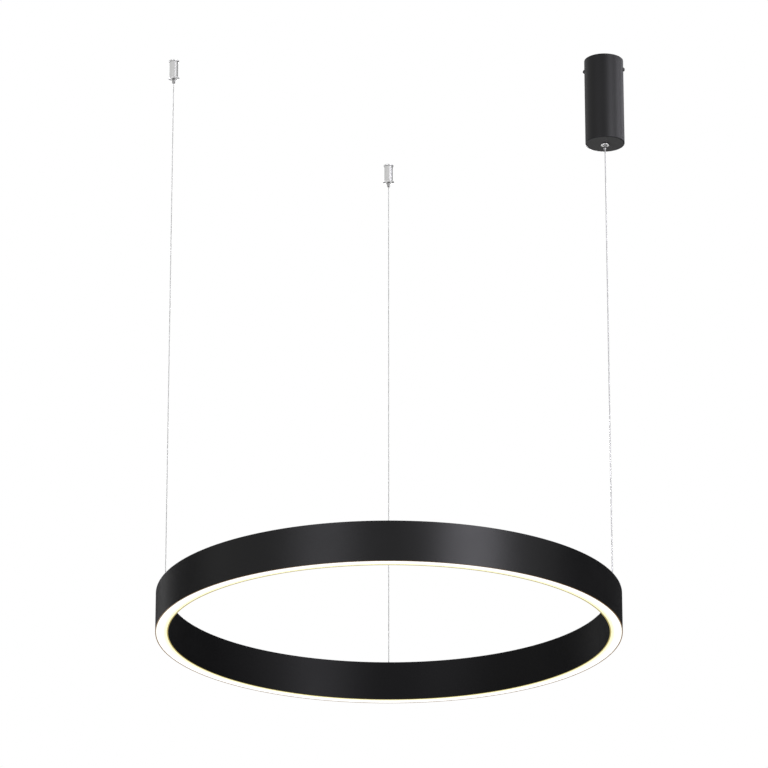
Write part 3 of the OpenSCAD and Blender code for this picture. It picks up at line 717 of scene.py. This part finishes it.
STRIP = [(7.65, 1.8, 0.2), (7.65, 6, 0.2), (8.65, 6, 0.2), (9.15, 5.5, 0.3), (8.65, 5, 0.2),
         (8.65, 1.8, 0.2), (9.25, 1.8, 0.2), (9.25, 0.3, 0.25)]
make_piece("opal_strip", [section(STRIP)], "ring", "opal", ["diffuser"])

# %% [markdown]
# ## Canopy
# The canopy is a deep drawn or turned cup, 69 mm wide and 160 mm high. Its lower edge is
# rounded by 2 mm, and its wall is 1.2 mm. It is open towards the ceiling, so its inside is
# drawn as well. Its bracket, and all that hangs on it, is turned by a few degrees.

# %% Canopy cup
CUP, CUP_WALL, CUP_EDGE, NECK_HOLE = 34.5 * MM, 1.2 * MM, 2 * MM, 5.1 * MM
CANOPY_TURN = math.radians(-9)
at = canopy_place
canopy_axis = cable_axes["power"]
cup = soft([
    (NECK_HOLE, at.low), (CUP, at.low), (CUP, at.high), (CUP - CUP_WALL, at.high),
    (CUP - CUP_WALL, at.low + CUP_WALL), (NECK_HOLE, at.low + CUP_WALL),
], [0.1 * MM, CUP_EDGE, 0.25 * MM, 0.25 * MM, CUP_EDGE - CUP_WALL, 0.1 * MM], 9)
make_piece("canopy_cup", [turned(cup, canopy_axis, 128)], CEILING, "canopy_paint",
           ["canopy_shell"])

# %% [markdown]
# ## Gland and ceiling anchors
# These are the small bright parts, and each one is a gripper. A cone inside narrows towards
# the mouth, so three balls are wedged against the cable by its own pull. Each part is turned
# from the bar, so it is one profile, and the space inside is the same in all. The numbers of
# a profile are its radius, its level above the mouth and how soft that corner is, in
# millimetres.

# %% Gland in the canopy's bottom
def lathe(rows, axis, level, columns=64):
    """Patch that is turned from rows of (radius, height, softness) in millimetres."""
    rows = np.array(rows, float) * MM
    return turned(soft(rows[:, :2], rows[:, 2]) + (0, level), axis, columns)


GRIP_SPACE = [(4.2, 12.5, 0.3), (2.68, 6, 0.3), (2.68, 0.6, 0.2)]
mouth = Place("gland_body").low
GLAND = [(3.28, 0, 0.15), (7.5, 0, 0.8), (7.5, 2.5, 0.3), (5, 2.5, 0.1), (5, 24, 0.2),
         (4.2, 24, 0.1), *GRIP_SPACE]
make_piece("gland", [lathe(GLAND, canopy_axis, mouth)], CEILING, "nickel",
           ["gland_body"])

# %% [markdown]
# A black plastic bush lines the gland's mouth, so that the nipple slides without a rattle or
# a scratch. From below it is the dark ring inside the bright one.

# %% Bush in the gland's mouth
BUSH = [(2.66, -0.25, 0.05), (3.9, -0.25, 0.1), (3.9, 0.1, 0.05), (3.2, 0.1, 0.05),
        (2.72, 0.55, 0.05), (2.66, 0.55, 0.05)]
make_piece("gland_bush", [lathe(BUSH, canopy_axis, mouth)], CEILING, "black_plastic")

# %% [markdown]
# A ceiling anchor is a flange with a spigot, screwed to the ceiling, and a barrel that screws
# onto it and hides it. Both are turned.

# %% Barrels and flanges of the ceiling anchors
BARREL = [(3.28, 0, 0.15), (7, 0, 0.2), (9.45, 1.1, 0.3), (10, 1.65, 0.3), (9.45, 2.2, 0.3),
          (8.05, 2.75, 0.3), (7.5, 3.3, 0.3), (7.5, 32.45, 0.3), (6.95, 33, 0.2),
          (5.05, 33, 0.1), (5.05, 21, 0.1), (4.2, 21, 0.1), *GRIP_SPACE]
FLANGE = [(3.3, -14, 0.1), (5, -14, 0.2), (5, -2, 0.1), (9, -2, 0.95), (9, 0, 0.1),
          (2, 0, 0.1), (2, -10.5, 0.1), (3.3, -10.5, 0.1)]
for side, at in anchor_places.items():
    make_piece(side + "_anchor_barrel", [lathe(BARREL, at.axis, at.low)], CEILING,
               "nickel", [side + "_barrel"])
    make_piece(side + "_anchor_flange", [lathe(FLANGE, at.axis, 0)], CEILING,
               "nickel", [side + "_anchor_base"])

# %% [markdown]
# Each plunger is a thin nipple that sticks out of the mouth. Pushed up, it lifts the balls
# out of the cone, and the cable runs free. It carries the balls in three cross holes, so
# these are drilled after turning.

# %% Plungers
NIPPLE, LIP, EDGE, COLLAR, PLAY = 2.6, 0.4, 0.5, 1.0, 0.65
BALLS_BELOW_TOP = 2.8 * MM
BALL_HOLE, HOLE_START, HOLE_END = 1.05 * MM, 0.5 * MM, 6 * MM
for side in CABLES:
    at = Place(side + "_plunger")
    top, collar = (at.high - at.low) / MM, at.radius / MM
    bore = Place(side + "_cable").radius / MM + PLAY
    rows = [(bore, LIP, 0.1), (bore + LIP, 0, 0.15), (NIPPLE - EDGE, 0, 0.2),
            (NIPPLE, EDGE, 0.2), (NIPPLE, top - COLLAR, 0.1), (collar, top - COLLAR, 0.1),
            (collar, top, 0.1), (bore, top, 0.1)]
    # The anchors' nipples get the darker metal, the gland's the nickel.
    metal = "nickel" if side == "power" else "darker_plunger_metal"
    plunger = make_piece(side + "_nipple", [lathe(rows, at.axis, at.low, 48)],
                         side + "_release", metal, [side + "_plunger"])
    ball_ring = (*at.axis, at.high - BALLS_BELOW_TOP)
    start = CANOPY_TURN if side == "power" else 0
    ways = [np.array([math.cos(a), math.sin(a), 0])
            for a in (start + k * TURN / 3 for k in range(3))]
    drill(plunger, [tube([ball_ring + HOLE_START * way, ball_ring + HOLE_END * way],
                         BALL_HOLE, 24, beside=(0, 0, 1)) for way in ways])

# %% [markdown]
# A tapered spring of 0.5 mm wire holds each plunger down. It is a circle carried along a
# helix. The last turn at each end of a real spring lies flat, so the height eases in and out
# there.

# %% Springs
def spring(axis, low, high, narrow, wide, wire, turns=6, columns=10, steps=36):
    """Patch of a tapered spring. For t from 0 to 1, the wire's middle is at the angle 2 pi n t
    and the radius goes from narrow to wide. The height is low + (high - low) e, with
    e = t - sin(2 pi t) / (2 pi), which starts and ends level."""
    t = np.linspace(0, 1, turns * steps + 1)
    ease = t - np.sin(TURN * t) / TURN
    a, r = TURN * turns * t, narrow + (wide - narrow) * t
    route = about(axis, r, a, low + (high - low) * ease)
    return tube(route, wire, columns, beside=(0, 0, 1))


SPRING_WIRE, SPRING_PLAY = 0.25 * MM, 0.05 * MM
for side, axis in cable_axes.items():
    node = side + "_spring"
    at = Place(node)
    narrow = Place(side + "_plunger").radius - SPRING_WIRE - SPRING_PLAY
    shape = spring(axis, at.low + SPRING_WIRE, at.high - SPRING_WIRE, narrow,
                   at.radius - SPRING_WIRE, SPRING_WIRE)
    coil = make_piece(side + "_coil", [shape], CEILING, "spring_wire", [node])
    shrink(coil)

# %% [markdown]
# ## Hollow screws in the ring
# Three hollow screws stand in the recess on top of the ring. The two for the steel cables
# hold a ball end in a conical seat. The one for the power cable is a plain bushing.

# %% Hollow screws
HEAD = [(4, -12, 0.3), (4, 0, 0.1), (5.5, 0, 0.15), (5.5, 1.47, 0.5), (4.77, 2.2, 0.5)]
SEAT = [(2.4, 2.2, 0.2), (1.8, 1.6, 0.3), (1.8, -6, 0.1), (2.8, -7, 0.1), (2.8, -12, 0.1)]
BORE = [(3.5, 2.2, 0.2), (2.9, 1.6, 0.3), (2.9, -12, 0.1)]
screws = [lathe([*HEAD, *(BORE if side == "power" else SEAT)], axis, web_top)
          for side, axis in cable_axes.items()]
make_piece("cable_screws", screws, "ring", "nickel", ["cable_bushings"])

# %% [markdown]
# ## Screw heads
# All the other screws have a domed head with a hexagon socket. A hexagon's edge lies at the
# distance s / cos(d) from its middle, where d is the angle from the middle of a side. So the
# rows of the socket just have that radius instead of a constant one.

# %% Domed screws
SOCKET_WIDTH, SOCKET_EDGE, SOCKET_FLOOR, DOME_INSIDE = 0.4, 0.03, 0.45, 0.55


def dome_screw(place, way, head, rise, shank, length, columns=48):
    """Patch of a screw whose head's foot is at a place in metres, and which points along way.
    The dome is part of a ball of radius R = (q q + h h) / 2h for a head of radius q and
    height h. All sizes are in millimetres, and the head's and shank's are radii."""
    head, rise, shank, length = (value * MM for value in (head, rise, shank, length))
    ball = (head**2 + rise**2) / (2 * rise)
    a = angles(columns)
    hexagon = SOCKET_WIDTH * head / np.cos((a + TURN / 12) % (TURN / 6) - TURN / 12)
    dome = np.linspace(head, DOME_INSIDE * head, 8)
    radii = [0, shank, shank, *dome, hexagon + SOCKET_EDGE * head, hexagon, hexagon, 0]
    r = np.stack([np.broadcast_to(radius, a.shape) for radius in radii])
    h = rise - ball + np.sqrt(np.maximum(ball**2 - r**2, 0))
    h[:3] = np.array([-length, -length, 0])[:, None]
    h[3] = 0
    h[-2:] = SOCKET_FLOOR * rise
    way = np.array(way, float)
    across = np.cross(way, (0, 0, 1) if abs(way[2]) < 0.5 else (0, 1, 0))
    across /= np.linalg.norm(across)
    over = np.cross(way, across)
    points = (np.array(place) + h[..., None] * way
              + (r * np.cos(a))[..., None] * across + (r * np.sin(a))[..., None] * over)
    return patch(points)


along = np.array([math.cos(CANOPY_TURN), math.sin(CANOPY_TURN), 0])
facing = np.array([-math.sin(CANOPY_TURN), math.cos(CANOPY_TURN), 0])


def in_canopy(x, y, z):
    """A place in the canopy, in millimetres along its bracket, towards its back, and up from
    the ceiling."""
    return (*canopy_axis, 0) + (x * along + y * facing + np.array([0, 0, z])) * MM


SIDE_OUT, SIDE_LEVEL, SIDE_SCREW = 34.55, -18.5, (3.75, 3, 1.95, 6)
sides = [dome_screw(in_canopy(side * SIDE_OUT, 0, SIDE_LEVEL), side * along, *SIDE_SCREW)
         for side in (-1, 1)]
make_piece("side_screws", sides, CEILING, "screw_paint", ["canopy_screws"])

# %% [markdown]
# ## Wiring
# Two wires go from the terminal block to the driver, two from the driver to the cable, and two
# from the cable's end in the ring to the tape. Each is 1 mm thick over its insulation. They
# don't move against what holds them, so a curve through a few given points is enough.

# %% Smooth routes and insulation
def smooth_route(points, steps=10):
    """Points of a smooth curve through given ones. Between b and c, with neighbours a and d,
    it is half of 2b + (c-a) t + (2a-5b+4c-d) t^2 + (3b-a-3c+d) t^3, for t from 0 to 1."""
    p = np.array(points, float)
    a, b, c, d = np.concatenate([p[:1], p[:-2]]), p[:-1], p[1:], np.concatenate([p[2:], p[-1:]])
    t = np.linspace(0, 1, steps, endpoint=False)[:, None, None]
    curve = 0.5 * (2 * b + (c - a) * t + (2 * a - 5 * b + 4 * c - d) * t**2
                   + (3 * b - a - 3 * c + d) * t**3)
    return np.concatenate([curve.transpose(1, 0, 2).reshape(-1, 3), p[-1:]])


def insulation(name, colour):
    """Soft vinyl: nearly even colour, with faint marks where the wire was pulled and bent."""
    vinyl = Finish(name)
    marks = vinyl.noise(1.5 * MM, detail=3)
    vinyl.set(base_color=vinyl.mix(marks, colour, tuple(0.8 * c for c in colour)))
    vinyl.set(roughness=0.38 + 0.15 * marks)
    vinyl.relief(marks, 0.02 * MM)


insulation("brown_vinyl", (0.16, 0.07, 0.03))
insulation("black_vinyl", (0.02, 0.02, 0.02))
insulation("red_vinyl", (0.45, 0.03, 0.02))
print("insulation:", ", ".join(name for name in Finish.made if "vinyl" in name))

# %% [markdown]
# The last number of each point below is the share of the way down, so a wire keeps its shape
# when the driver hangs lower. The two wires of a pair mirror each other.

# %% Wires in the canopy
WIRE = 0.5 * MM
# Millimetres in the canopy: the block's poles, its depth and foot, the driver's two ends
POLE, BLOCK_DEPTH, BLOCK_FOOT, DRIVER_TOP, DRIVER_FOOT = 26 / 3, 9.25, -17, -31.8, -126.2
IN_DROP, OUT_DROP = DRIVER_TOP - BLOCK_FOOT, -8
INPUT = [(0, 0, 0), (0, 0, 0.3), (0, -1, 0.5), (-2, -4, 0.7), (-3, -5, 0.85), (-3, -5, 1)]
OUTPUT = [(8, 0), (8, 0.3), (6, 0.6), (2, 0.7), (0.6, 0.85), (0.6, 1)]
for side, mark in ((-1, "first"), (1, "second")):
    way_in = [in_canopy(side * (POLE + x), BLOCK_DEPTH + y, BLOCK_FOOT + IN_DROP * share)
              for x, y, share in INPUT]
    way_out = [in_canopy(side * x, 0, DRIVER_FOOT + OUT_DROP * share) for x, share in OUTPUT]
    for kind, way, finish, slot, node in (
        ("mains", way_in, "brown_vinyl", "brown_lead", "input_leads"),
        ("driver", way_out, "black_vinyl", "black_plastic", "output_leads"),
    ):
        make_piece(f"{mark}_{kind}_wire", [tube(smooth_route(way), WIRE)], CEILING, finish,
                   [node] if side < 0 else [])

# %% [markdown]
# In the ring two wires come out of the power cable's end, pass through the tape's web beside
# it and turn up to the tape's pads. Their points are millimetres outwards from the cable and
# up from that web.

# %% Wires in the ring
tape_web = ring_place.low + TAPE_LEVEL * MM
outwards = np.array([*canopy_axis, 0]) / np.linalg.norm(canopy_axis)
TOP = (Place("power_cable_end").low - tape_web) / MM - 0.05
RING_WIRE = [(1, TOP), (1, TOP - 2), (3, TOP - 5), (6.7, TOP - 9), (7.7, 5), (7.7, 2), (7.7, 0),
             (7.7, -1.4), (6.9, -2.4), (5.7, -2.5), (4.7, -1.8), (3.9, -0.85)]
wires = []
for side in (-1, 1):
    route = [np.array([*canopy_axis, tape_web + z * MM]) + side * x * MM * outwards
             for x, z in RING_WIRE]
    wires.append(tube(smooth_route(route), WIRE, beside=(-outwards[1], outwards[0], 0)))
make_piece("ring_wires", wires, "ring", "red_vinyl", ["ring_leads"])

# %% [markdown]
# ## Tape and chips
# The tape has a pair of copper pads at every cut mark, and the chips on it are yellow
# phosphor that glows. Both lie behind the opal strip, so a pattern in the finish is enough.

# %% Tape and phosphor
PADS, PAD_SHARE, PAD_FROM = 72, 0.04, 1.5 * MM
tape = Finish("tape", roughness=0.35)
x, y, _ = tape.axes(tape.place())
round_ring = tape.math("ARCTAN2", y, x) * (PADS / TURN)
near_mark = tape.math("ABSOLUTE", tape.math("FRACT", round_ring) - 0.5)
across = tape.math("ABSOLUTE", (x**2 + y**2) ** 0.5 - ring_middle)
pad = (tape.math("LESS_THAN", near_mark, PAD_SHARE)
       * tape.math("GREATER_THAN", across, PAD_FROM))
solder_mask = tape.mix(tape.noise(3 * MM), (0.84, 0.83, 0.78), (0.78, 0.77, 0.71))
tape.set(base_color=tape.mix(pad, solder_mask, (0.80, 0.50, 0.28)))
tape.set(metallic=pad)

phosphor = Finish("phosphor", roughness=0.3)
speck = phosphor.noise(0.4 * MM, detail=2)
phosphor.set(base_color=phosphor.mix(speck, (0.85, 0.68, 0.20), (0.90, 0.76, 0.34)))
phosphor.glow(phosphor.mix(speck, (0.9, 0.80, 0.50), (1.0, 0.9, 0.62)))
print("pads on the tape:", 2 * PADS)

# %% [markdown]
# Two screws hold the driver's hanger to the bracket and two the driver to its hanger. Three
# brass ones clamp the wires in the terminal block. All are the domed screw in other sizes, so
# one row of a table is enough for each kind.

# %% Small screws
SMALL_SCREWS = {
    "hanger_dome_screws": ([(-10, 7.5, -3), (10, 7.5, -3)], (0, 0, -1),
                           (2.8, 1.8, 1.45, 2.7), "zinc_plate", "sheet_steel", ["hanger_screws"]),
    "driver_dome_screws": ([(0, 11.4, -28), (0, 11.4, -130)], -facing,
                           (2.8, 1.8, 1.45, 4.6), "zinc_plate", "sheet_steel", ["driver_screws"]),
    "clamp_screws": ([(k * POLE, 6.2, -13) for k in (-1, 0, 1)], -facing,
                     (1.9, 0.8, 1.2, 1.5), "brass", "brass", []),
}
for name, (places, way, sizes, finish, slot, nodes) in SMALL_SCREWS.items():
    shapes = [dome_screw(in_canopy(*place), way, *sizes) for place in places]
    make_piece(name, shapes, CEILING, finish, nodes)

# %% [markdown]
# ## Finishes for the parts that stay as they are
# The bracket, the hanger, the nuts, the balls and the like are right as they came. They only
# need their finish, and that goes into the material slots they have.

# %% Finishes by part
FINISHES = {
    "zinc_plate": ["canopy_bracket", "driver_hanger", "bushing_nuts"],
    "white_plastic": ["led_driver", "terminal_block"],
    "brass": ["gland_nut", "gland_cap"],
    "nickel": ["power_grip_balls", "left_grip_balls", "far_grip_balls", "left_cable_end",
               "far_cable_end"],
    "black_plastic": ["power_cable_end"],
    "tape": ["led_tape"],
    "phosphor": ["led_chips"],
}
for finish, nodes in FINISHES.items():
    for node in nodes:
        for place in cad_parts[node].material_slots:
            place.material = Finish.made[finish]
print("parts with a finish:", sum(map(len, FINISHES.values())))

# %% [markdown]
# ## Room and lamps
# The backdrop is plain white for the camera and for everything that mirrors it, so polished
# metal reflects a white studio. For soft bounced light the world is a mid grey. Four large
# soft boxes stand round the ring and two small ones beside the canopy. They are slightly
# cool, as the highlights on the real lamp are.

# %% World and soft boxes
ROOM_LIGHT = 0.35
LAMP_COLOUR = (0.93, 0.915, 1.0)
bpy.context.scene.view_settings.view_transform = "Standard"
room = Tree(bpy.data.worlds.new("room"))
bpy.context.scene.world = bpy.data.worlds["room"]
room.fill(room.nodes["Background"], {
    "Color": (1, 1, 1, 1), "Strength": ROOM_LIGHT + (1 - ROOM_LIGHT) * room.seen()})


def soft_box(name, azimuth, elevation, distance, size, light, middle=(0, 0, -1.0)):
    """Square area lamp that looks at a point, such as the ring's middle, from a direction in
    degrees. A surface that faces it there gets the irradiance light, so its power is light
    times pi d d."""
    lamp = in_scene(name, bpy.data.lights.new(name, "AREA"))
    lamp.data.size = size
    lamp.data.color = LAMP_COLOUR
    lamp.data.energy = light * math.pi * distance**2
    a, e = math.radians(azimuth), math.radians(elevation)
    way = np.array([math.sin(a) * math.cos(e), -math.cos(a) * math.cos(e), math.sin(e)])
    lamp.location = np.array(middle) + distance * way
    lamp.rotation_euler = (math.pi / 2 - e, 0, a)
    lamp.visible_camera = False
    print(f"{name}: {lamp.data.energy:.1f} W")


soft_box("soft_box_right", 39, 18, 4, 1.7, 2.5)
soft_box("soft_box_left", -30, 12, 4, 1.7, 0.95)
soft_box("soft_box_back", 180, 20, 4, 0.8, 1.0)
soft_box("soft_box_low", 225, -15, 4, 1.7, 1.2)
canopy_middle = (*canopy_axis, -0.08)
soft_box("soft_box_canopy", 86, 18, 1.0, 0.5, 1.45, canopy_middle)
soft_box("soft_box_edge", 128, 20, 1.0, 0.4, 0.4, canopy_middle)

# %% [markdown]
# The floor is pale, 3 m below the ring, and takes the lamp's soft shadow. For the camera and
# for mirrored light it also glows a little, and more further out, where it melts into the
# backdrop as a paper sweep does in a studio. From underneath one looks through it.

# %% Floor
FLOOR_LEVEL, FLOOR_RADIUS, FLOOR_CORNERS = -4.0, 80.0, 96
SWEEP = (4.0, 20.0)


def on_stage(name, corners, cells, finish):
    """Object for the surroundings only, which isn't part of the lamp."""
    mesh = bpy.data.meshes.new(name)
    mesh.from_pydata(corners.tolist(), [], cells.tolist())
    mesh.materials.append(Finish.made[finish])
    thing = in_scene(name, mesh)
    print(f"{name}: {len(corners)} points")
    return thing


floor_edge = about((0, 0), FLOOR_RADIUS, angles(FLOOR_CORNERS), FLOOR_LEVEL)
pale = Finish("pale_floor", roughness=0.8, specular_ior_level=0.2)
on_stage("floor", floor_edge, np.arange(FLOOR_CORNERS)[None], "pale_floor")

pale.set(base_color=pale.mix(pale.noise(0.4, detail=4), (0.80, 0.80, 0.79), (0.76, 0.76, 0.75)))
seen = pale.seen()
x, y, _ = pale.axes(pale.place())
far_out = pale.add("MapRange", {"interpolation_type": "SMOOTHSTEP"}, {
    "Value": (x**2 + y**2) ** 0.5, "From Min": SWEEP[0], "From Max": SWEEP[1]})
sweep = pale.mix(far_out, (0.55, 0.55, 0.55), (0.80, 0.80, 0.80))
pale.glow(pale.mix(seen, (0, 0, 0), sweep))
below = pale.add("NewGeometry", output="Backfacing")
clear = pale.add("BsdfTransparent")
both = pale.add("MixShader", {}, {0: below, 1: pale.shader.outputs[0], 2: clear})
pale.fill(pale.nodes["Material Output"], {"Surface": both})

# %% [markdown]
# Dark cloths hang in arcs behind the lamp and beside it. In product photography they draw a
# dark edge on glossy and pale things alike, which would melt into a white backdrop without
# it. The gap between the upper two lets the ring's left end gleam. Only mirrored light meets
# them here, so they darken nothing else.

# %% Dark cloths
CLOTH_DISTANCE = 5


def dark_cloth(name, azimuths, levels, columns=60):
    """Upright arc of cloth. At the angle a it stands at (d sin a, -d cos a)."""
    a = np.radians(np.linspace(*azimuths, columns))
    x, y = CLOTH_DISTANCE * np.sin(a), -CLOTH_DISTANCE * np.cos(a)
    points = [np.stack([x, y, np.full(columns, z)], 1) for z in levels]
    corners, cells, _ = patch(np.array(points), closed_columns=False)
    cloth = on_stage(name, corners, cells, "black_cloth")
    cloth.visible_camera = cloth.visible_diffuse = cloth.visible_shadow = False


cloth = Finish("black_cloth", roughness=0.9, specular_ior_level=0.1)
cloth.set(base_color=cloth.mix(cloth.noise(0.05), (0.08, 0.08, 0.08), (0.11, 0.11, 0.11)))
dark_cloth("cloth_back", (86, 214), (-1.2, 2.4))
dark_cloth("cloth_side", (222, 262), (-1.2, 1.35))
dark_cloth("cloth_low_right", (110, 161), (-3.2, -1.2))
dark_cloth("cloth_low_left", (199, 240), (-3.2, -1.2))

# %% [markdown]
# ## The end
# The boxes of the imported lamp and of the dressed one should be nearly the same, because the
# new surfaces stand for the old solids and add only trim. Last, the scene is brought up to date.

# %% The end
bpy.context.view_layer.update()
